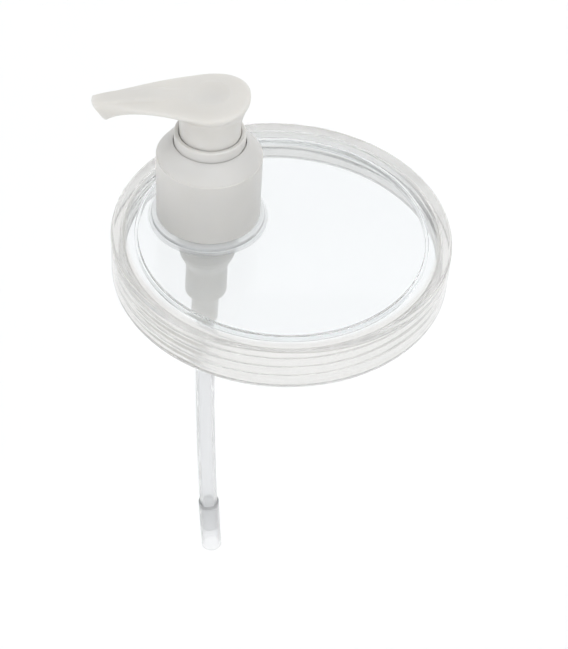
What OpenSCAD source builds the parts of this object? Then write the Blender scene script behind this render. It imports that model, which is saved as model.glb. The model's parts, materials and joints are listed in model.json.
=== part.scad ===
// Pump lid for a wide-mouth jar: a clear screw lid that carries a lotion pump off its centre.
// Millimetres, +Z up. The origin is on the jar's axis, in the plane where the jar's rim seats.

/* [Jar lid] */
// Outer diameter of the lid
lid_d = 110; // [108:0.5:114]
// Depth of the skirt below the jar rim's seat
skirt_depth = 13.5; // [12.5:0.5:16]
// Thickness of the disc
disc_t = 2; // [1.8:0.1:2.5]
// Thickness of the skirt's wall
skirt_t = 3; // [2.6:0.1:3.4]
// Pitch of the jar thread
jar_pitch = 3.6; // [3.4:0.1:3.7]
// Turns of the jar thread
jar_turns = 2.8; // [2:0.1:2.8]
// Outer diameter of the ridge that plugs the jar's mouth
plug_d = 94.8; // [92:0.2:96]

/* [Pump place] */
// Pump axis, along X from the lid's centre
pump_x = -24.3; // [-26:0.1:-20]
// Pump axis, along Y from the lid's centre
pump_y = 5.2; // [-6:0.1:6]

/* [Neck and closure] */
// Diameter over the neck's thread
neck_thread_d = 27.5; // [27.2:0.1:27.6]
// Diameter of the neck's wall
neck_d = 25.2; // [24.8:0.1:25.4]
// Bore of the neck
neck_bore_d = 21; // [20.6:0.1:21.4]
// Height of the neck above the disc's base ring
neck_h = 18; // [17.6:0.1:18.4]
// Lead of the neck thread
neck_lead = 4.233; // [4.2:0.001:4.3]
// Turns of the neck thread
neck_turns = 1.5; // [1:0.25:1.5]
// Outer diameter of the closure
closure_d = 33.6; // [33.2:0.1:34]
// Height of the closure's straight side
closure_side_h = 23.4; // [23:0.1:25]

/* [Pump body] */
// Outer diameter of the housing's barrel
barrel_d = 19; // [18.8:0.1:19.4]
// Bore of the housing's barrel, where the piston slides
barrel_bore_d = 16.8; // [16.6:0.1:16.8]
// Outer diameter of the housing's valve chamber
chamber_d = 13.8; // [13.6:0.1:14.2]
// Outer diameter of the housing's tube socket
socket_d = 8.9; // [8.8:0.1:9.4]
// Outer diameter of the stem
stem_d = 7.3; // [7:0.1:7.4]
// Stroke of the pump
stroke = 16; // [12:0.5:16]
// Outer diameter of the lock ring's rim
ring_d = 22.5; // [22.2:0.1:22.6]

/* [Head] */
// Radius of the finger pad
pad_r = 12.2; // [11.8:0.1:12.4]
// Height of the pad's middle above the jar rim's seat
pad_z = 50.6; // [50:0.1:51]
// Direction the spout points in, turned from -X
spout_turn = -1.5; // [-20:0.5:20]
// Outer diameter of the head's neck
head_neck_d = 19.2; // [19:0.1:19.3]
// Reach of the spout from the pump axis
spout_reach = 36.6; // [34:0.2:38]
// Half width of the spout at its tip
tip_half_w = 2.8; // [2.6:0.1:3.2]

/* [Dip tube] */
// Outer diameter of the dip tube
tube_d = 6.8; // [6.7:0.1:6.8]
// Inner diameter of the dip tube
tube_bore_d = 4.6; // [4.2:0.1:5]
// Radius that the dip tube is bent to
tube_bend_r = 1900; // [1500:50:3000]
// Length of the bent run below the housing
tube_run = 118.2; // [100:0.1:125]
// Outer diameter of the sleeve at the tube's end
sleeve_d = 7.8; // [7.7:0.1:8]
// Length of the sleeve
sleeve_l = 27; // [24:0.5:28]
// How far the sleeve reaches past the tube's end
sleeve_past = 12.3; // [10:0.1:14]

/* [Hidden] */
$fn = 96;

// Jar lid
lid_r = lid_d / 2;
skirt_r = lid_r - skirt_t;
lid_edge_r = 1.2;
lip_edge_r = 0.6;
corner_r = 1.4;
plug_r = plug_d / 2;
plug_t = 1.1;
plug_h = 2.2;
jar_ridge_h = 1.1;
jar_ridge_base = 2.1;
jar_ridge_crest = 0.8;
jar_thread_top = -1.9;
jar_thread_angle = 68;

// Neck on the lid
base_ring_r = 18.4;
base_ring_h = 1.2;
base_ring_edge_r = 0.6;
neck_z = disc_t + base_ring_h;
neck_top = neck_z + neck_h;
neck_thread_z = neck_top - 9.2;
ridge_base = 2.2;
ridge_crest = 0.9;

// Stack on the neck
gasket_t = 1;
flange_z = neck_top + gasket_t;
flange_t = 1.5;
flange_r = 12.4;
gasket_r = 12.3;
housing_top = flange_z + flange_t + 2.8;
closure_z = neck_z + 0.4;
closure_top = closure_z + closure_side_h;
closure_r = closure_d / 2;
shell_t = 1.1;
thread_wall_r = 14.1;
thread_wall_t = 0.9;
closure_crest_r = 12.95;
closure_thread_z = neck_thread_z - 1.6;
closure_ridge_base = 2.4;
closure_ridge_crest = 1;
shelf_z = flange_z + flange_t + 0.05;
shelf_t = 1.3;
dome_h = 5.5;
dome_power = 1.2;
dome_points = 16;
dome_hole_r = ring_d / 2 + 0.25;

// Lock ring
ring_r = ring_d / 2;
ring_top = closure_top + dome_h + 3.5;
ring_bore_r = 10.3;
ring_crest_r = 9.75;
ring_lip_r = 9.75;
ring_floor = housing_top + 1.4;
sleeve_in_r = 7.3;
guide_t = 1.6;
guide_gap = 0.07;

// Housing below the disc
barrel_r = barrel_d / 2;
barrel_bore_r = barrel_bore_d / 2;
chamber_r = chamber_d / 2;
chamber_bore_r = chamber_r - 1.1;
socket_r = socket_d / 2;
barrel_end = -13.5;
taper_end = -20.5;
chamber_end = -32;
chamber_floor = chamber_end + 1.1;
socket_end = -43.5;
tube_stop = -34.8;
orifice_r = 1.3;

// Check valve and spring
ball_r = 2.4;
seat_r = 2.9;
seat_depth = 1.3;
ball_gap = 0.02;
ball_lift = 1.2;
cage_r = chamber_bore_r - 0.02;
cage_t = 1;
cage_bore_r = ball_r + 0.15;
spring_wire_r = 0.45;
spring_r = 4.5;
spring_coils = 8.5;
spring_gap = 0.02;

// Piston and stem
piston_z = barrel_end + 1;
piston_h = 6.4;
piston_gap = 0.05;
piston_hub_r = 5;
stem_r = stem_d / 2;
stem_bore_r = 2.2;
stem_top = 44.5;
side_hole_r = 0.75;
side_hole_z = piston_z + 1.1;
shoulder_r = 5;
shoulder_t = 1;
valve_gap = 1.05;
shoulder_z = piston_z + piston_h + valve_gap;
head_room = 1.05;
guide_z = shoulder_z + shoulder_t + stroke + head_room;
sleeve_bottom = guide_z - 2;
seat_top = piston_z - 0.02;
seat_flange_r = 5.2;
seat_flange_h = 1.2;

// Pump head
head_neck_r = head_neck_d / 2;
head_neck_bottom = ring_floor + 0.4;
neck_flare_z = 42;
neck_flare_r = 10.9;
neck_flare_end = 45.5;
neck_wall_t = 1.3;
pad_slope = 0.117;
spout_droop = 0.001;
pad_h = 5;
tip_h = 6.9;
tip_growth = 1.53;
underside_arch = 2.83;
end_cut = 0.72;
roundness = 2.87;
pad_square = 2.2;
strip_w = 2.9;
strip_h = 0.6;
strip_start = 0.2;
ring_points = 48;
pad_stations = 14;
spout_stations = 22;
dish_r = 6.3;
dish_depth = 1.2;
boss_r = 5;
boss_bottom = 31;
stem_gap = 0.02;
passage_r = 0.95;
nozzle_r = 1.4;
web_t = 1.2;
web_line = [[8.5, 41.1], [12.4, 41], [18.5, 41.6], [26, 43.2], [26, 43.6], [18, 46], [8.5, 46.8]];
spout_bend_s = [0, 20, spout_reach + 1.5];
spout_bend_z = [46.9, 46.4, 41];
lock_root_r = 8.8;
lock_z = head_neck_bottom + 1;
lock_lead = 5;
lock_turns = 0.6;
lock_ridge_base = 1.4;
lock_ridge_crest = 0.6;
ring_ridge_rise = 1.6;
ring_ridge_base = 1;
ring_ridge_crest = 0.5;

// Dip tube
tube_r = tube_d / 2;
tube_bore_r = tube_bore_d / 2;
sleeve_r = sleeve_d / 2;

// A thread's ridge: a helix of a four-sided section that fades out at both ends.
// foot_r is the radius it stands on; crest_r, its tip, may lie inside or outside that.
module ridge(foot_r, crest_r, z, lead, turns, base_w, crest_w, start_angle, per_turn = 60)
{
    steps = round(turns * per_turn);
    fade_steps = per_turn / 8;
    points = [
        for (i = [0:steps])
            let (
                fade = max(0.04, min(1, i / fade_steps, (steps - i) / fade_steps)),
                a = start_angle + 360 * i / per_turn,
                zc = z + lead * i / per_turn,
                tip_r = foot_r + (crest_r - foot_r) * fade
            )
                each [
                    for (p = [[foot_r, -base_w / 2], [tip_r, -crest_w / 2],
                              [tip_r, crest_w / 2], [foot_r, base_w / 2]])
                        [p[0] * cos(a), p[0] * sin(a), zc + p[1]]
                ]
    ];
    quads = [
        for (i = [0:steps - 1], k = [0:3])
            let (a = 4 * i + k, b = 4 * i + (k + 1) % 4)
                each [[a, b, b + 4], [a, b + 4, a + 4]]
    ];
    caps = [[3, 2, 1], [3, 1, 0], [4 * steps, 4 * steps + 1, 4 * steps + 2],
            [4 * steps, 4 * steps + 2, 4 * steps + 3]];
    inward = crest_r < foot_r;
    faces = concat(quads, caps);
    polyhedron(points, inward ? [for (f = faces) [f[2], f[1], f[0]]] : faces, convexity = 6);
}

// Moves a pump piece from the pump's own axis to its place on the lid.
module on_pump_axis() { translate([pump_x, pump_y, 0]) children(); }

// Points of an arc in the r-z plane, from angle a0 to a1 in degrees.
function arc(c, r, a0, a1, n = 8) =
    [for (i = [0:n]) let (a = a0 + (a1 - a0) * i / n) [c[0] + r * cos(a), c[1] + r * sin(a)]];

// The skirt and disc in section, with the plug ridge under the disc.
module lid_section()
{
    polygon(concat(
        [[0, disc_t]],
        arc([lid_r - lid_edge_r, disc_t - lid_edge_r], lid_edge_r, 90, 0),
        arc([lid_r - lip_edge_r, lip_edge_r - skirt_depth], lip_edge_r, 0, -90, 4),
        arc([skirt_r + lip_edge_r, lip_edge_r - skirt_depth], lip_edge_r, -90, -180, 4),
        arc([skirt_r - corner_r, -corner_r], corner_r, 0, 90),
        [[plug_r, 0], [plug_r, 0.4 - plug_h], [plug_r - 0.4, -plug_h],
         [plug_r - plug_t, -plug_h], [plug_r - plug_t, 0], [0, 0]]
    ));
}

module jar_lid()
{
    color("aliceblue", 0.45)
    difference()
    {
        union()
        {
            rotate_extrude() lid_section();
            ridge(skirt_r + 0.4, skirt_r - jar_ridge_h, jar_thread_top - jar_pitch * jar_turns,
                  jar_pitch, jar_turns, jar_ridge_base, jar_ridge_crest,
                  jar_thread_angle - 360 * jar_turns, 72);
            on_pump_axis()
            {
                rotate_extrude() polygon(concat(
                    [[0, 0], [base_ring_r, 0]],
                    arc([base_ring_r - base_ring_edge_r, neck_z - base_ring_edge_r],
                        base_ring_edge_r, 0, 90, 6),
                    [[0, neck_z]]
                ));
                cylinder(h = neck_top, r = neck_d / 2);
                ridge(neck_d / 2 - 0.4, neck_thread_d / 2, neck_thread_z, neck_lead, neck_turns,
                      ridge_base, ridge_crest, 0);
            }
        }
        on_pump_axis() translate([0, 0, -1]) cylinder(h = neck_top + 2, d = neck_bore_d);
    }
}

// The dome's outline at a depth t inside its outer face: from the side to the hole, almost
// straight, and back again where down is true.
function dome_line(t, down) =
    let (foot = closure_r - 0.35 - t, span = foot - dome_hole_r, rise = dome_h - t)
        [
            for (i = [0:dome_points])
                let (a = 90 * (down ? dome_points - i : i) / dome_points)
                    [dome_hole_r + span * pow(cos(a), 2 / dome_power),
                     closure_top + rise * pow(sin(a), 2 / dome_power)]
        ];

module closure()
{
    thread_wall_top = shelf_z + shelf_t;
    wall_in = closure_r - shell_t;
    color("gainsboro", 0.85)
    on_pump_axis()
    {
        rotate_extrude() polygon(concat(
            [[wall_in, closure_z], [closure_r - 0.3, closure_z], [closure_r, closure_z + 0.3],
             [closure_r, closure_top - 0.15], [closure_r - 0.15, closure_top]],
            dome_line(0, false),
            dome_line(shell_t, true),
            [[wall_in, closure_top - 1.5], [wall_in, thread_wall_top],
             [dome_hole_r, thread_wall_top], [dome_hole_r, shelf_z], [thread_wall_r, shelf_z],
             [thread_wall_r, closure_z + 2], [thread_wall_r + thread_wall_t, closure_z + 2],
             [thread_wall_r + thread_wall_t, shelf_z], [wall_in, shelf_z]]
        ));
        ridge(thread_wall_r + 0.3, closure_crest_r, closure_thread_z, neck_lead, neck_turns,
              closure_ridge_base, closure_ridge_crest, 0);
    }
}

module neck_gasket()
{
    color("whitesmoke")
    on_pump_axis() translate([0, 0, neck_top]) difference()
    {
        cylinder(h = gasket_t, r = gasket_r);
        translate([0, 0, -1]) cylinder(h = gasket_t + 2, r = barrel_r + 0.1);
    }
}

module pump_housing()
{
    color("gainsboro", 0.8)
    on_pump_axis() rotate_extrude() polygon([
        [barrel_bore_r, housing_top],
        [barrel_r - 0.3, housing_top],
        [barrel_r, housing_top - 0.3],
        [barrel_r, flange_z + flange_t],
        [flange_r, flange_z + flange_t],
        [flange_r, flange_z],
        [barrel_r, flange_z],
        [barrel_r, barrel_end],
        [barrel_r - 0.5, barrel_end - 2],
        [barrel_r - 1.35, barrel_end - 3.8],
        [chamber_r + 0.4, taper_end + 1.3],
        [chamber_r, taper_end],
        [chamber_r, chamber_end + 0.8],
        [chamber_r - 0.8, chamber_end],
        [socket_r, chamber_end],
        [socket_r, socket_end],
        [tube_r + 0.01, socket_end],
        [tube_r + 0.01, tube_stop],
        [orifice_r, tube_stop],
        [orifice_r, chamber_floor - seat_depth],
        [seat_r, chamber_floor],
        [chamber_bore_r, chamber_floor],
        [chamber_bore_r, taper_end - 0.3],
        [chamber_bore_r + 0.4, taper_end + 1],
        [barrel_bore_r - 1.35, barrel_end - 3.9],
        [barrel_bore_r - 0.5, barrel_end - 2.1],
        [barrel_bore_r, barrel_end]
    ]);
}

module lock_ring()
{
    color("gainsboro", 0.85)
    on_pump_axis()
    {
        rotate_extrude() polygon([
            [ring_r - 0.3, ring_top],
            [ring_r, ring_top - 0.3],
            [ring_r, housing_top + 0.4],
            [barrel_bore_r - 0.05, housing_top + 0.4],
            [barrel_bore_r - 0.05, sleeve_bottom],
            [sleeve_in_r, sleeve_bottom],
            [sleeve_in_r, guide_z],
            [stem_r + guide_gap, guide_z],
            [stem_r + guide_gap, guide_z + guide_t],
            [sleeve_in_r, guide_z + guide_t],
            [sleeve_in_r, ring_floor],
            [ring_bore_r, ring_floor],
            [ring_bore_r, ring_top - 1.6],
            [ring_lip_r, ring_top - 1.1],
            [ring_lip_r, ring_top - 0.25],
            [ring_lip_r + 0.25, ring_top]
        ]);
        ridge(ring_bore_r + 0.3, ring_crest_r, lock_z + ring_ridge_rise, lock_lead, lock_turns,
              ring_ridge_base, ring_ridge_crest, 180);
    }
}

// Half width, height and top of the head's solid at the distance s along the spout.
function spout_w(s) =
    let (al = asin((pad_r - tip_half_w) / spout_reach))
        s < 0 ? pad_r * pow(max(0.0001, 1 - pow(-s / pad_r, pad_square)), 1 / pad_square) :
        s < pad_r * sin(al) ? sqrt(pad_r * pad_r - s * s) : pad_r / cos(al) - s * tan(al);
function spout_h(s) =
    let (u = max(0, s) / spout_reach)
        pad_h + (tip_h - pad_h) * pow(u, tip_growth) - underside_arch * sin(180 * u);
// How far the middle strip of the spout's top stands up at s, y across.
function strip(s, y) =
    let (u = (s / spout_reach - strip_start) / (1 - strip_start), e = (abs(y) - strip_w) / 0.5)
        u <= 0 ? 0 : strip_h * sin(180 * u) / (1 + exp(4 * e));
function spout_top(s) = pad_z - pad_slope * s - (s > 0 ? spout_droop * s * s : 0);

// One closed ring of points across the head at s: a squared-off oval that shrinks to
// nothing at the back of the pad, and leans back towards the tip.
function head_ring(s) = [
    for (j = [0:ring_points - 1])
        let (
            t = 360 * (j + 0.5) / ring_points,
            w = spout_w(s),
            y = w * cos(t),
            rho = s < 0 ? pow(pow(-s / pad_r, pad_square) + pow(abs(y) / pad_r, pad_square),
                              1 / pad_square) : abs(cos(t)),
            half = spout_h(s) / 2,
            rise = half * pow(max(0, 1 - pow(min(1, rho), roundness)), 1 / roundness),
            z = -half + sign(sin(t)) * rise + (sin(t) > 0 ? strip(s, y) : 0),
            u = max(0, s) / spout_reach
        )
            [-(s + end_cut * z * u * u), y, spout_top(s) + z]
];

module head_solid()
{
    stations = concat(
        [for (i = [0:pad_stations - 1]) -pad_r * cos(2 + 88 * i / pad_stations)],
        [for (i = [0:spout_stations]) spout_reach * i / spout_stations]
    );
    n = ring_points;
    last = len(stations) - 1;
    points = [for (s = stations) each head_ring(s)];
    sides = [
        for (i = [0:last - 1], j = [0:n - 1])
            let (a = n * i + j, b = n * i + (j + 1) % n)
                each [[a, b, b + n], [a, b + n, a + n]]
    ];
    back = [for (j = [n - 1:-1:0]) j];
    tip = [for (j = [0:n - 1]) n * last + j];
    polyhedron(points, concat(sides, [back, tip]), convexity = 8);
}

// Everything that is hollow in the head: the neck's inside, the stem's bore and the outlet.
module head_hollow()
{
    difference()
    {
        translate([0, 0, head_neck_bottom - 1])
            cylinder(h = neck_flare_z - head_neck_bottom + 2.2, r = lock_root_r - neck_wall_t);
        translate([0, 0, boss_bottom]) cylinder(h = 20, r = boss_r);
    }
    translate([0, 0, boss_bottom - 1])
        cylinder(h = stem_top - boss_bottom + 1.05, r = stem_r + stem_gap);
    cylinder(h = spout_bend_z[0] + passage_r, r = stem_bore_r);
    for (i = [0:1])
        passage(spout_bend_s[i], spout_bend_z[i], spout_bend_s[i + 1], spout_bend_z[i + 1],
                passage_r);
    nozzle_s = spout_reach - 5;
    nozzle_z = spout_bend_z[1] + (spout_bend_z[2] - spout_bend_z[1])
               * (nozzle_s - spout_bend_s[1]) / (spout_bend_s[2] - spout_bend_s[1]);
    passage(nozzle_s, nozzle_z, spout_bend_s[2], spout_bend_z[2], nozzle_r);
    dish_ball_r = (dish_r * dish_r + dish_depth * dish_depth) / (2 * dish_depth);
    translate([0, 0, pad_z - dish_depth]) rotate([0, -atan(pad_slope), 0])
        translate([0, 0, dish_ball_r]) sphere(r = dish_ball_r, $fn = 144);
}

// A round hole along the spout from (s0, z0) to (s1, z1).
module passage(s0, z0, s1, z1, r)
{
    run = norm([s1 - s0, z1 - z0]);
    translate([-s0, 0, z0]) rotate([0, -atan2(s1 - s0, z1 - z0), 0])
        cylinder(h = run + r / 3, r = r);
}

module pump_head()
{
    color("gainsboro", 0.9)
    on_pump_axis() rotate([0, 0, spout_turn])
    {
        difference()
        {
            union()
            {
                head_solid();
                rotate_extrude() polygon([
                    [0, head_neck_bottom], [lock_root_r, head_neck_bottom],
                    [lock_root_r, ring_top - 1.2], [head_neck_r, ring_top - 0.4],
                    [head_neck_r, neck_flare_z - 2.5], [head_neck_r + 0.15, neck_flare_z - 1],
                    [head_neck_r + 0.55, neck_flare_z + 1], [neck_flare_r, neck_flare_end],
                    [neck_flare_r, neck_flare_end + 1.2], [0, neck_flare_end + 1.2]
                ]);
                translate([0, web_t / 2, 0]) rotate([90, 0, 0]) linear_extrude(web_t)
                    polygon([for (p = web_line) [-p[0], p[1]]]);
            }
            head_hollow();
        }
        ridge(lock_root_r - 0.3, head_neck_r, lock_z, lock_lead, lock_turns,
              lock_ridge_base, lock_ridge_crest, 0);
    }
}

// The hollow rod that joins the head to the piston, with side holes the piston uncovers.
module stem()
{
    color("whitesmoke")
    on_pump_axis() difference()
    {
        rotate_extrude() polygon([
            [stem_bore_r, piston_z], [stem_r, piston_z], [stem_r, shoulder_z],
            [shoulder_r, shoulder_z], [shoulder_r, shoulder_z + shoulder_t - 0.3],
            [shoulder_r - 0.3, shoulder_z + shoulder_t], [stem_r, shoulder_z + shoulder_t],
            [stem_r, stem_top - 0.4], [stem_r - 0.4, stem_top], [stem_bore_r, stem_top]
        ]);
        side_holes();
    }
}

// The two crossed holes through the stem and the spigot inside it.
module side_holes()
{
    for (a = [0, 90])
        translate([0, 0, side_hole_z]) rotate([90, 0, a])
            cylinder(h = 2 * stem_r + 2, r = side_hole_r, center = true);
}

module piston()
{
    lip_r = barrel_bore_r - piston_gap;
    mid_r = lip_r - 0.35;
    color("white")
    on_pump_axis() translate([0, 0, piston_z]) rotate_extrude() polygon([
        [stem_r + piston_gap, 0], [piston_hub_r, 0], [piston_hub_r, 2.6], [lip_r - 1.05, 2.6],
        [lip_r - 0.7, 0], [lip_r, 0], [lip_r, 0.8], [mid_r, 1.6], [mid_r, piston_h - 1.6],
        [lip_r, piston_h - 0.8], [lip_r, piston_h], [lip_r - 0.7, piston_h],
        [lip_r - 1.05, 3.8], [piston_hub_r, 3.8], [piston_hub_r, piston_h],
        [stem_r + piston_gap, piston_h]
    ]);
}

module piston_seat()
{
    spigot_r = stem_bore_r - 0.02;
    boss_r = spring_r - spring_wire_r - 0.2;
    color("whitesmoke")
    on_pump_axis() difference()
    {
        translate([0, 0, seat_top]) rotate_extrude() polygon([
            [0, -seat_flange_h - 2], [boss_r - 0.6, -seat_flange_h - 2],
            [boss_r, -seat_flange_h - 1.4], [boss_r, -seat_flange_h],
            [seat_flange_r, -seat_flange_h], [seat_flange_r, 0], [spigot_r, 0],
            [spigot_r, 5], [spigot_r - 0.7, 5], [spigot_r - 0.7, 0.2], [0, 0.2]
        ]);
        side_holes();
    }
}

// Height of the spring wire's middle, n coils up: closed at both ends and open between.
function wire_z(n, length) =
    let (
        closed = 0.75,
        tight = 2 * spring_wire_r + 0.05,
        open = (length - 2 * spring_wire_r - 2 * closed * tight) / (spring_coils - 2 * closed)
    )
        spring_wire_r + tight * min(n, closed)
        + open * max(0, min(n, spring_coils - closed) - closed)
        + tight * max(0, n - spring_coils + closed);

module return_spring()
{
    bottom = chamber_floor + cage_t + spring_gap;
    length = seat_top - seat_flange_h - spring_gap - bottom;
    per_coil = 28;
    n = 8;
    steps = spring_coils * per_coil;
    points = [
        for (i = [0:steps], k = [0:n - 1])
            let (
                a = 360 * i / per_coil,
                r = spring_r + spring_wire_r * cos(360 * k / n),
                z = bottom + wire_z(i / per_coil, length) + spring_wire_r * sin(360 * k / n)
            )
                [r * cos(a), r * sin(a), z]
    ];
    sides = [
        for (i = [0:steps - 1], k = [0:n - 1])
            let (a = n * i + k, b = n * i + (k + 1) % n)
                each [[a, b + n, b], [a, a + n, b + n]]
    ];
    start = [for (k = [0:n - 1]) k];
    end = [for (k = [n - 1:-1:0]) n * steps + k];
    color("silver")
    on_pump_axis() polyhedron(points, concat(sides, [start, end]), convexity = 10);
}

// Holds the ball over the inlet and seats the spring: a flange with a windowed column.
module ball_cage()
{
    ceiling = ball_z() + ball_r + ball_lift + 0.1;
    color("whitesmoke")
    on_pump_axis() difference()
    {
        union()
        {
            translate([0, 0, chamber_floor]) cylinder(h = cage_t, r = cage_r);
            translate([0, 0, chamber_floor])
                cylinder(h = ceiling + cage_t - chamber_floor, r = cage_bore_r + 1);
        }
        translate([0, 0, chamber_floor - 1])
            cylinder(h = ceiling - chamber_floor + 1, r = cage_bore_r);
        translate([0, 0, ceiling - 1]) cylinder(h = cage_t + 2, r = 1.4);
        for (a = [0, 120, 240])
            rotate([0, 0, a])
                translate([0, -1.2, chamber_floor + cage_t + 0.4])
                    cube([cage_r, 2.4, ceiling - chamber_floor - cage_t - 0.4]);
    }
}

// Height of the ball's centre when it rests on the housing's cone.
function ball_z() =
    let (half = atan2(seat_r - orifice_r, seat_depth))
        chamber_floor - seat_depth - orifice_r / tan(half) + ball_r / sin(half) + ball_gap;

module check_ball()
{
    color("lightsteelblue")
    on_pump_axis() translate([0, 0, ball_z()]) sphere(r = ball_r);
}

// A tube bent to the dip tube's arc, from one length along the arc to another.
module bent_tube(from, to, outer_r, inner_r)
{
    a0 = from / tube_bend_r * 180 / PI;
    a1 = to / tube_bend_r * 180 / PI;
    translate([tube_bend_r, 0, socket_end]) rotate([0, 180 - a0, 0]) rotate([90, 0, 0])
        rotate_extrude(angle = a1 - a0, $fn = 2400) translate([tube_bend_r, 0]) difference()
        {
            circle(r = outer_r, $fn = 64);
            circle(r = inner_r, $fn = 64);
        }
}

module dip_tube()
{
    color("lightblue", 0.6)
    on_pump_axis()
    {
        translate([0, 0, socket_end]) difference()
        {
            cylinder(h = tube_stop - 0.2 - socket_end, r = tube_r, $fn = 64);
            translate([0, 0, -1])
                cylinder(h = tube_stop - socket_end + 2, r = tube_bore_r, $fn = 64);
        }
        bent_tube(0, tube_run, tube_r, tube_bore_r);
    }
}

module tube_sleeve()
{
    from = tube_run + sleeve_past - sleeve_l;
    color("lightblue", 0.6)
    on_pump_axis() bent_tube(from, from + sleeve_l, sleeve_r, tube_r + 0.01);
}

jar_lid();
closure();
neck_gasket();
pump_housing();
lock_ring();
pump_head();
stem();
piston();
piston_seat();
return_spring();
ball_cage();
check_ball();
dip_tube();
tube_sleeve();
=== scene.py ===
import json
from math import asin, cos, pi, radians, sin

import bmesh
import bpy
from mathutils import Matrix, Vector


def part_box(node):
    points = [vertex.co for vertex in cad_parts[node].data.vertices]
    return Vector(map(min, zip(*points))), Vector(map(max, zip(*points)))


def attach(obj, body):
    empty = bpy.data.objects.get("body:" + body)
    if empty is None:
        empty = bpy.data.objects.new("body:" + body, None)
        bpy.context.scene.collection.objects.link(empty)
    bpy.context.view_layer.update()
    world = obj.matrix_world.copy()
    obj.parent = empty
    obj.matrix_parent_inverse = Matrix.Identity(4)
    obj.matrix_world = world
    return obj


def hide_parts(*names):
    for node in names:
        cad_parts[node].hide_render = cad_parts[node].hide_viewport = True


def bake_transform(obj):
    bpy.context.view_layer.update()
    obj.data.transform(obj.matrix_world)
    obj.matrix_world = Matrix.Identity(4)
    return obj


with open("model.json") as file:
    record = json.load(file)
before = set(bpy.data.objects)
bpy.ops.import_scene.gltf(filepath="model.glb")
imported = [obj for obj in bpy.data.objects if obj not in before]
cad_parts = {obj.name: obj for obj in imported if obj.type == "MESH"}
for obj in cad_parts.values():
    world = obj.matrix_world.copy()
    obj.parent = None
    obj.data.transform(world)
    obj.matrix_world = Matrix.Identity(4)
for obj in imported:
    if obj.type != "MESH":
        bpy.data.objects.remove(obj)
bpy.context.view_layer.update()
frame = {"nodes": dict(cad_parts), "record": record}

MM = 0.001
NODES = frame["nodes"]
SCENE = bpy.context.scene
HOUSING = [tuple(corner) for corner in NODES["pump_housing"].bound_box]
PUMP = [(HOUSING[0][i] + HOUSING[6][i]) / 2 for i in range(2)]     # the pump's axis, in metres
PUMP_MM = [c / MM for c in PUMP]
CAD_SHARP, MESH_SHARP = 30, 60     # degrees from which an edge stays sharp


# ---------------------------------------------------------------- shader helpers
def new_material(name, **values):
    """A material with one Principled shader. values are its socket names, with _ for a space."""
    m = bpy.data.materials.new(name)
    m.use_nodes = True
    shader = m.node_tree.nodes["Principled BSDF"]
    for key, value in values.items():
        shader.inputs[key.replace("_", " ")].default_value = value
    return m, m.node_tree, shader


def noise(tree, scale, detail=3.0, stretch=(1, 1, 1)):
    """Noise in object space: scale is cycles per metre."""
    coord = tree.nodes.new("ShaderNodeTexCoord")
    mapping = tree.nodes.new("ShaderNodeMapping")
    mapping.inputs["Scale"].default_value = stretch
    n = tree.nodes.new("ShaderNodeTexNoise")
    n.inputs["Scale"].default_value = scale
    n.inputs["Detail"].default_value = detail
    tree.links.new(coord.outputs["Object"], mapping.inputs["Vector"])
    tree.links.new(mapping.outputs["Vector"], n.inputs["Vector"])
    return n.outputs["Fac"]


def remap(tree, value, low, high, start=0.0, end=1.0, kind="LINEAR"):
    """value from start to end becomes low to high."""
    r = tree.nodes.new("ShaderNodeMapRange")
    r.interpolation_type = kind
    limits = {"From Min": start, "From Max": end, "To Min": low, "To Max": high}
    for socket, limit in limits.items():
        r.inputs[socket].default_value = limit
    tree.links.new(value, r.inputs["Value"])
    return r.outputs["Result"]


def bump(tree, shader, value, strength, distance):
    b = tree.nodes.new("ShaderNodeBump")
    b.inputs["Strength"].default_value = strength
    b.inputs["Distance"].default_value = distance
    tree.links.new(value, b.inputs["Height"])
    tree.links.new(b.outputs["Normal"], shader.inputs["Normal"])


def mixed(tree, value, a, b):
    """Colour a where value is low, b where it is high."""
    ramp = tree.nodes.new("ShaderNodeValToRGB")
    for element, colour, position in zip(ramp.color_ramp.elements, (a, b), (0.3, 0.7)):
        element.color = (*colour, 1)
        element.position = position
    tree.links.new(value, ramp.inputs["Fac"])
    return ramp.outputs["Color"]


def vector_math(tree, operation, vector, other=None):
    v = tree.nodes.new("ShaderNodeVectorMath")
    v.operation = operation
    tree.links.new(vector, v.inputs[0])
    if other:
        v.inputs[1].default_value = other
    return v.outputs


def reach_from(tree, centre):
    """Distance in metres from the upright line at centre."""
    place = tree.nodes.new("ShaderNodeTexCoord").outputs["Object"]
    offset = vector_math(tree, "SUBTRACT", place, (*centre, 0))[0]
    level = vector_math(tree, "MULTIPLY", offset, (1, 1, 0))[0]
    return vector_math(tree, "LENGTH", level)["Value"]


# ---------------------------------------------------------------- materials
SKIRT_HAZE = 0.0492, 0.0510        # metres from the jar's axis, where haze starts and is full
BOSS_PAINTED_LIGHT = 0.0198, 0.0188         # the same from the pump's axis, going inwards, for the boss: its milkiness is painted light, in place of light shining up through the disc


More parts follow.
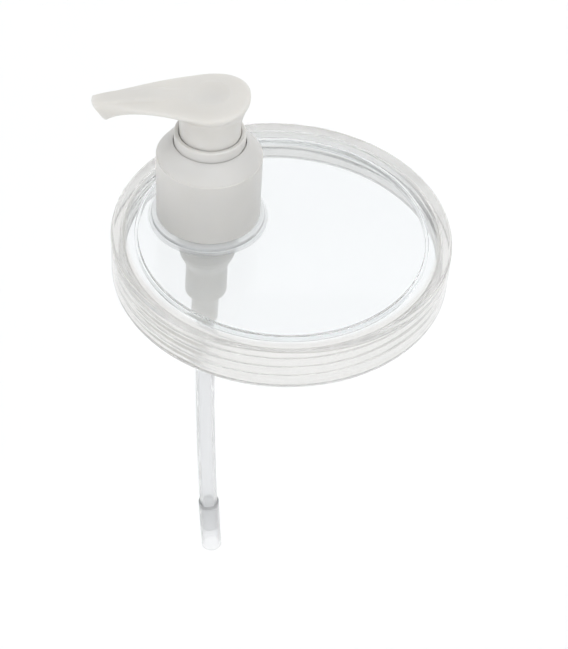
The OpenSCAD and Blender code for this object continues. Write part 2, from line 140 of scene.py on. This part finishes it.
def clear_lid():
    """Clear, glossy disc and neck, with a hazier skirt; the boss under the pump is made hazier
    too, as painted light in place of light shining up through the disc.
    """
    m, tree, s = new_material("clear_lid", IOR=1.46)
    skirt = remap(tree, reach_from(tree, (0, 0)), 0, 1, *SKIRT_HAZE, kind="SMOOTHSTEP")
    # The boss's haze is painted light: it makes the boss look lit, in place of light shining up
    # through the disc.
    boss = remap(tree, reach_from(tree, PUMP), 0, 1, *BOSS_PAINTED_LIGHT, kind="SMOOTHSTEP")
    skirt_haze_and_boss_light = tree.nodes.new("ShaderNodeMath")
    skirt_haze_and_boss_light.operation = "MAXIMUM"
    tree.links.new(remap(tree, skirt, 0, 0.4), skirt_haze_and_boss_light.inputs[0])
    tree.links.new(boss, skirt_haze_and_boss_light.inputs[1])
    tint = tree.nodes.new("ShaderNodeMix")
    tint.data_type = "RGBA"
    tint_a, tint_b = [socket for socket in tint.inputs if socket.type == "RGBA"]
    tint_out = [socket for socket in tint.outputs if socket.type == "RGBA"][0]
    tree.links.new(skirt, tint.inputs["Factor"])
    tree.links.new(mixed(tree, noise(tree, 9), (0.92, 0.935, 0.943), (0.935, 0.95, 0.957)), tint_a)
    tree.links.new(mixed(tree, noise(tree, 20), (0.87, 0.865, 0.85), (0.91, 0.905, 0.89)), tint_b)
    tree.links.new(tint_out, s.inputs["Base Color"])
    # Less clear where the skirt is hazy, and on the boss as painted light.
    tree.links.new(remap(tree, skirt_haze_and_boss_light.outputs[0], 0.97, 0.6), s.inputs["Transmission Weight"])
    tree.links.new(remap(tree, skirt, 0.04, 0.15), s.inputs["Roughness"])
    return m


def soft_plastic(name, a, b, transmission=0.12, rough=(0.3, 0.42)):
    """Natural, undyed plastic: light soaks in and spreads, with a fine moulded grain."""
    m, tree, s = new_material(name, IOR=1.49, Transmission_Weight=transmission,
                              Subsurface_Weight=0.5, Subsurface_Scale=0.004)
    s.inputs["Subsurface Radius"].default_value = (1.0, 0.95, 0.85)
    tree.links.new(mixed(tree, noise(tree, 40, 4), a, b), s.inputs["Base Color"])
    tree.links.new(remap(tree, noise(tree, 120, 4), *rough), s.inputs["Roughness"])
    bump(tree, s, noise(tree, 900, 3), 0.08, 0.0002)
    return m


def tube_plastic():
    """Soft translucent tube, a little milky, with faint lengthwise streaks from its extrusion."""
    m, tree, s = new_material("tube_plastic", IOR=1.4)
    streaks = noise(tree, 700, 2, (1, 1, 0.01))
    tree.links.new(mixed(tree, streaks, (0.955, 0.96, 0.968), (0.975, 0.98, 0.985)),
                   s.inputs["Base Color"])
    tree.links.new(remap(tree, streaks, 0.78, 0.82), s.inputs["Transmission Weight"])
    tree.links.new(remap(tree, streaks, 0.16, 0.2), s.inputs["Roughness"])
    return m


def spring_steel():
    m, tree, s = new_material("spring_steel", Metallic=1.0, IOR=2.5)
    tree.links.new(mixed(tree, noise(tree, 200), (0.55, 0.55, 0.56), (0.68, 0.68, 0.69)),
                   s.inputs["Base Color"])
    tree.links.new(remap(tree, noise(tree, 700, 4), 0.2, 0.4), s.inputs["Roughness"])
    return m


def ball_glass():
    m, tree, s = new_material("ball_glass", IOR=1.52, Transmission_Weight=1.0)
    tree.links.new(mixed(tree, noise(tree, 300), (0.82, 0.9, 0.9), (0.9, 0.95, 0.95)),
                   s.inputs["Base Color"])
    tree.links.new(remap(tree, noise(tree, 500), 0.01, 0.05), s.inputs["Roughness"])
    return m


MATERIALS = {
    "clear_lid": clear_lid(),
    "pump_plastic": soft_plastic("pump_plastic", (0.70, 0.683, 0.65), (0.74, 0.723, 0.69)),
    "stem_plastic": soft_plastic("stem_plastic", (0.86, 0.86, 0.85), (0.9, 0.9, 0.89), 0.2),
    "piston_plastic": soft_plastic("piston_plastic", (0.9, 0.9, 0.89), (0.94, 0.94, 0.93), 0.1),
    "gasket_foam": soft_plastic("gasket_foam", (0.88, 0.88, 0.86), (0.93, 0.93, 0.91),
                                0.0, (0.7, 0.9)),
    "tube_plastic": tube_plastic(),
    "spring_steel": spring_steel(),
    "ball_glass": ball_glass(),
}


def shade_smooth(mesh):
    for p in mesh.polygons:
        p.use_smooth = True


for part in frame["record"]["subparts"]:
    node = NODES[part["node"]]
    node.data.materials.clear()
    node.data.materials.append(MATERIALS[part["material_slot"]])
    shade_smooth(node.data)
    node.modifiers.new("edges", "EDGE_SPLIT").split_angle = radians(CAD_SHARP)


# ---------------------------------------------------------------- mesh helpers (millimetres)
def arc(cx, cz, r, a0, a1, n):
    """Points of an arc in the r-z plane, from angle a0 to a1 in degrees."""
    return [(cx + r * cos(radians(a0 + (a1 - a0) * i / n)),
             cz + r * sin(radians(a0 + (a1 - a0) * i / n))) for i in range(n + 1)]


def skin(name, rings, closed=True):
    """A mesh through rings of points: the last ring joins the first, or both ends are capped."""
    n = len(rings[0])
    faces = []
    for j in range(len(rings) if closed else len(rings) - 1):
        k = (j + 1) % len(rings)
        for i in range(n):
            m = (i + 1) % n
            faces.append((n * j + i, n * k + i, n * k + m, n * j + m))
    if not closed:
        faces += [tuple(range(n)), tuple(range(n * (len(rings) - 1), n * len(rings)))]
    mesh = bpy.data.meshes.new(name)
    mesh.from_pydata([Vector(p) * MM for ring in rings for p in ring], [], faces)
    return mesh


def add_piece(name, mesh, body, stands_for, slot):
    """A smooth piece in the place of the CAD node stands_for."""
    o = bpy.data.objects.new(name, mesh)
    SCENE.collection.objects.link(o)
    bm = bmesh.new()
    bm.from_mesh(mesh)
    bmesh.ops.recalc_face_normals(bm, faces=bm.faces)
    bm.to_mesh(mesh)
    bm.free()
    shade_smooth(mesh)
    mesh.set_sharp_from_angle(angle=radians(MESH_SHARP))
    mesh.materials.append(MATERIALS[slot])
    if body:
        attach(o, body)
    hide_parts(stands_for)
    return o


# ---------------------------------------------------------------- jar lid
# In mm: round the jar's axis first, then round the pump's.
LID_R = 55.0
SKIRT_R, SKIRT_DEPTH = 52.0, 13.5
DISC_T = 2.0
EDGE_R, LIP_R, CORNER_R = 1.2, 0.6, 1.4
PLUG_R, PLUG_IN_R, PLUG_H, PLUG_EDGE_R = 47.4, 46.3, 2.2, 0.25
BOSS_R, BOSS_TOP, BOSS_EDGE_R = 18.4, 3.2, 0.6
NECK_R, NECK_TOP, NECK_EDGE_R, BORE_R = 12.6, 21.2, 0.4, 10.5
SIDE_MID_Z, BORE_MID_Z = -6.0, 10.0
JAR_RIDGE_H, NECK_RIDGE_H = 1.1, 1.15
JAR_THREAD = dict(top_z=-1.9, top_angle=68, pitch=3.6, turns=2.8, base=2.3, crest=0.5)
NECK_THREAD = dict(top_z=18.35, top_angle=540, pitch=4.233, turns=1.5, base=2.3, crest=0.7)
RIDGE_FADE = 0.125                 # turns over which a ridge rises at each end
JAR_ROWS = -1.5, -12.75, -0.12     # a threaded wall's first row, limit and spacing
NECK_ROWS = 4.0, 20.4, 0.15
TURN_STEPS = 432


def ridge_height(z, angle, top_z, top_angle, pitch, turns, base, crest):
    """How much of a right-hand thread's ridge stands at height z and angle: 0 to 1."""
    best = 0.0
    along = ((top_angle - angle) % 360) / 360
    while along <= turns:
        fade = min(1, along / RIDGE_FADE, (turns - along) / RIDGE_FADE)
        slope = (base / 2 - abs(z - (top_z - pitch * along))) / ((base - crest) / 2)
        rise = max(0.0, min(1.0, slope))
        best = max(best, rise * rise * (3 - 2 * rise) * fade)
        along += 1
    return best


def jar_wall(z, angle):
    return SKIRT_R - JAR_RIDGE_H * ridge_height(z, angle, **JAR_THREAD)


def neck_wall(z, angle):
    return NECK_R + NECK_RIDGE_H * ridge_height(z, angle, **NECK_THREAD)


def wall_rows(wall, first, last, step):
    """Rows up or down a wall, from the height first and short of last."""
    rows = []
    z = first
    while (last - z) * step > 0:
        rows.append((wall, z))
        z += step
    return rows


def clear_lid_mesh():
    """The whole lid as one closed skin: rings round the jar's axis, then round the pump's."""
    plug_z = PLUG_EDGE_R - PLUG_H
    lip_z = LIP_R - SKIRT_DEPTH
    round_jar = (
        [(PLUG_IN_R, 0), (PLUG_IN_R, plug_z)]
        + arc(PLUG_IN_R + PLUG_EDGE_R, plug_z, PLUG_EDGE_R, 180, 270, 3)
        + arc(PLUG_R - PLUG_EDGE_R, plug_z, PLUG_EDGE_R, 270, 360, 3)
        + [(PLUG_R, 0)]
        + arc(SKIRT_R - CORNER_R, -CORNER_R, CORNER_R, 90, 0, 6)
        + wall_rows(jar_wall, *JAR_ROWS)
        + arc(SKIRT_R + LIP_R, lip_z, LIP_R, 180, 270, 5)
        + arc(LID_R - LIP_R, lip_z, LIP_R, 270, 360, 5)
        + [(LID_R, SIDE_MID_Z)]
        + arc(LID_R - EDGE_R, DISC_T - EDGE_R, EDGE_R, 0, 90, 8)
    )
    round_pump = (
        [(BOSS_R, DISC_T)]
        + arc(BOSS_R - BOSS_EDGE_R, BOSS_TOP - BOSS_EDGE_R, BOSS_EDGE_R, 0, 90, 5)
        + [(NECK_R, BOSS_TOP)]
        + wall_rows(neck_wall, *NECK_ROWS)
        + arc(NECK_R - NECK_EDGE_R, NECK_TOP - NECK_EDGE_R, NECK_EDGE_R, 0, 90, 3)
        + [(BORE_R, NECK_TOP), (BORE_R, BORE_MID_Z), (BORE_R, 0)]
    )
    rings = []
    for rows, centre in ((round_jar, (0, 0)), (round_pump, PUMP_MM)):
        for r, z in rows:
            ring = []
            for i in range(TURN_STEPS):
                a = 360 * i / TURN_STEPS
                reach = r(z, a) if callable(r) else r
                ring.append((centre[0] + reach * cos(radians(a)),
                             centre[1] + reach * sin(radians(a)), z))
            rings.append(ring)
    return skin("clear_lid", rings)


add_piece("clear_jar_lid", clear_lid_mesh(), "lid", "jar_lid", "clear_lid")


# ---------------------------------------------------------------- dip tube and sleeve
TUBE_R, TUBE_BORE_R, TUBE_EDGE = 3.4, 2.3, 0.12
SLEEVE_R, SLEEVE_GAP, SLEEVE_EDGE = 3.9, 0.01, 0.1
TUBE_SIDES = 64
RING_SPACING = 2
BEND_R = 1900.0
SOCKET_Z = HOUSING[0][2] / MM


def tube_ring(length, r):
    """A ring round the tube's middle line, at a length below the socket; above, it is straight."""
    a = max(0.0, length) / BEND_R
    x = BEND_R * (1 - cos(a))
    z = SOCKET_Z - BEND_R * sin(a) - min(0.0, length)
    ring = []
    for i in range(TUBE_SIDES):
        t = 2 * pi * i / TUBE_SIDES
        out = r * cos(t)
        ring.append((PUMP_MM[0] + x + out * cos(a), PUMP_MM[1] + r * sin(t), z + out * sin(a)))
    return ring


def bent_tube_mesh(name, start, end, outer, inner, edge):
    """A bent tube's closed skin, with its four rims cut off by edge."""
    steps = int((end - start) / RING_SPACING)
    down = [start + edge + (end - start - 2 * edge) * i / steps for i in range(steps + 1)]
    rings = [tube_ring(start, inner + edge), tube_ring(start, outer - edge)]
    rings += [tube_ring(s, outer) for s in down]
    rings += [tube_ring(end, outer - edge), tube_ring(end, inner + edge)]
    rings += [tube_ring(s, inner) for s in reversed(down)]
    return skin(name, rings)


def arc_length(z, r):
    """How far along the bend a square cut lies whose point at r from the middle is at height z."""
    return BEND_R * asin((SOCKET_Z - z) / (BEND_R + r))


tube_low, tube_high = (c[2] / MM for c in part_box("dip_tube"))
sleeve_low, sleeve_high = (c[2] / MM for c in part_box("tube_sleeve"))
tube = bent_tube_mesh("tube", SOCKET_Z - tube_high, arc_length(tube_low, TUBE_R),
                      TUBE_R, TUBE_BORE_R, TUBE_EDGE)
sleeve = bent_tube_mesh("sleeve", arc_length(sleeve_high, -SLEEVE_R),
                        arc_length(sleeve_low, SLEEVE_R),
                        SLEEVE_R, TUBE_R + SLEEVE_GAP, SLEEVE_EDGE)
add_piece("bent_dip_tube", tube, "pump_core", "dip_tube", "tube_plastic")
add_piece("end_sleeve", sleeve, "pump_core", "tube_sleeve", "tube_plastic")


# ---------------------------------------------------------------- return spring
COIL_R, WIRE_R, COILS = 4.5, 0.45, 8.5
CLOSED_COILS = 0.75                # at each end
CLOSED_GAP = 0.05
STEPS_PER_COIL = 48
WIRE_SIDES = 16


def spring_mesh(low, high):
    """The spring's wire from the height low to high, its end coils closed."""
    tight = 2 * WIRE_R + CLOSED_GAP
    pitch = (high - low - 2 * WIRE_R - 2 * CLOSED_COILS * tight) / (COILS - 2 * CLOSED_COILS)
    rings = []
    for i in range(int(COILS * STEPS_PER_COIL) + 1):
        n = i / STEPS_PER_COIL
        z = (low + WIRE_R + tight * (min(n, CLOSED_COILS) + max(0, n - COILS + CLOSED_COILS))
             + pitch * max(0, min(n, COILS - CLOSED_COILS) - CLOSED_COILS))
        ring = []
        for k in range(WIRE_SIDES):
            t = 2 * pi * k / WIRE_SIDES
            r = COIL_R + WIRE_R * cos(t)
            ring.append((PUMP_MM[0] + r * cos(2 * pi * n), PUMP_MM[1] + r * sin(2 * pi * n),
                         z + WIRE_R * sin(t)))
        rings.append(ring)
    return skin("spring", rings, closed=False)


spring_low, spring_high = (c[2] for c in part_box("return_spring"))
spring = add_piece("steel_spring", spring_mesh(spring_low / MM, spring_high / MM),
                   None, "return_spring", "spring_steel")
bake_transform(spring)


# ---------------------------------------------------------------- stage and light
FLOOR_Z = -0.30
FRONT_REACH = 20.0                 # how far the paper runs to the front, and half its width there
BACK_WIDTH = 3.0                   # half its width at the cove
COVE_Y, COVE_R, COVE_TOP = 1.6, 0.8, 2.6
COVE_STEPS = 16


def paper_sweep():
    """A white paper sweep: a floor that widens to the front and curves up behind the object."""
    cove = [(COVE_Y + COVE_R * sin(radians(90 * i / COVE_STEPS)),
             FLOOR_Z + COVE_R * (1 - cos(radians(90 * i / COVE_STEPS))))
            for i in range(COVE_STEPS + 1)]
    profile = [(-FRONT_REACH, FLOOR_Z, FRONT_REACH)]
    profile += [(y, z, BACK_WIDTH) for y, z in cove + [(COVE_Y + COVE_R, COVE_TOP)]]
    verts = [(x, y, z) for y, z, width in profile for x in (-width, width)]
    faces = [(2 * i, 2 * i + 1, 2 * i + 3, 2 * i + 2) for i in range(len(profile) - 1)]
    mesh = bpy.data.meshes.new("paper_sweep")
    mesh.from_pydata(verts, [], faces)
    shade_smooth(mesh)
    sweep = bpy.data.objects.new("paper_sweep", mesh)
    SCENE.collection.objects.link(sweep)
    m, tree, s = new_material("paper", Roughness=0.8)
    tree.links.new(mixed(tree, noise(tree, 3), (0.93, 0.93, 0.93), (0.95, 0.95, 0.95)),
                   s.inputs["Base Color"])
    mesh.materials.append(m)


def area_light(name, place, target, size, watts):
    """A round lamp, size metres across, at place and aimed at target."""
    data = bpy.data.lights.new(name, "AREA")
    data.shape = "DISK"
    data.size = size
    data.energy = watts
    o = bpy.data.objects.new(name, data)
    o.location = place
    o.rotation_euler = (Vector(target) - Vector(place)).to_track_quat("-Z", "Y").to_euler()
    SCENE.collection.objects.link(o)


def sun_light(name, direction, spread, strength):
    """A wide, soft sun; direction points towards it and spread is in degrees."""
    data = bpy.data.lights.new(name, "SUN")
    data.angle = radians(spread)
    data.energy = strength
    o = bpy.data.objects.new(name, data)
    o.rotation_euler = Vector(direction).to_track_quat("Z", "Y").to_euler()
    SCENE.collection.objects.link(o)


def studio_world(horizon, zenith):
    """Near-white surroundings, dimmer at the horizon so that the clear lid gets its outlines."""
    world = bpy.data.worlds.new("studio")
    SCENE.world = world
    world.use_nodes = True
    sky = world.node_tree
    up = sky.nodes.new("ShaderNodeSeparateXYZ")
    sky.links.new(sky.nodes.new("ShaderNodeTexCoord").outputs["Generated"], up.inputs[0])
    background = sky.nodes["Background"]
    background.inputs["Color"].default_value = (0.98, 0.99, 1.0, 1)
    sky.links.new(remap(sky, up.outputs["Z"], horizon, zenith), background.inputs["Strength"])


paper_sweep()
sun_light("sky_soft", (-0.5, -0.35, 1.2), 70, 0.13)
sun_light("front_soft", (0.6, -1.0, 0.35), 90, 1.55)
sun_light("left_soft", (-1.0, -0.5, 0.2), 90, 0.7)
area_light("key", (-0.5, -0.1, 0.6), (-0.02, 0, 0.02), 0.25, 0.4)
area_light("rim", (0.45, 0.35, 0.5), (0, 0, 0), 0.2, 0.6)
studio_world(0.53, 0.73)
SCENE.view_settings.view_transform = "Standard"

# ---------------------------------------------------------------- camera
ELEVATION = radians(42.13)
DISTANCE = 0.5293
AIM_Z = 0.002
LENS, SENSOR = 91.05, 36           # millimetres
# The object stands turned a little about each axis in the photograph, so the camera's axes turn.
TURN = (Matrix.Rotation(radians(-0.06), 3, "Y") @ Matrix.Rotation(radians(3.33), 3, "X")
        @ Matrix.Rotation(radians(3.86), 3, "Z"))

camera_data = bpy.data.cameras.new("camera")
camera_data.sensor_width = SENSOR
camera_data.lens = LENS
camera_data.clip_start = 0.02
camera = bpy.data.objects.new("camera", camera_data)
SCENE.collection.objects.link(camera)
SCENE.camera = camera
up, along = sin(ELEVATION), cos(ELEVATION)
axes = TURN @ Matrix(((1, 0, 0), (0, -up, -along), (0, along, -up)))
pose = Matrix((axes[0], -axes[1], -axes[2])).transposed().to_4x4()
pose.translation = (0, -DISTANCE * along, AIM_Z + DISTANCE * up)
camera.matrix_world = pose
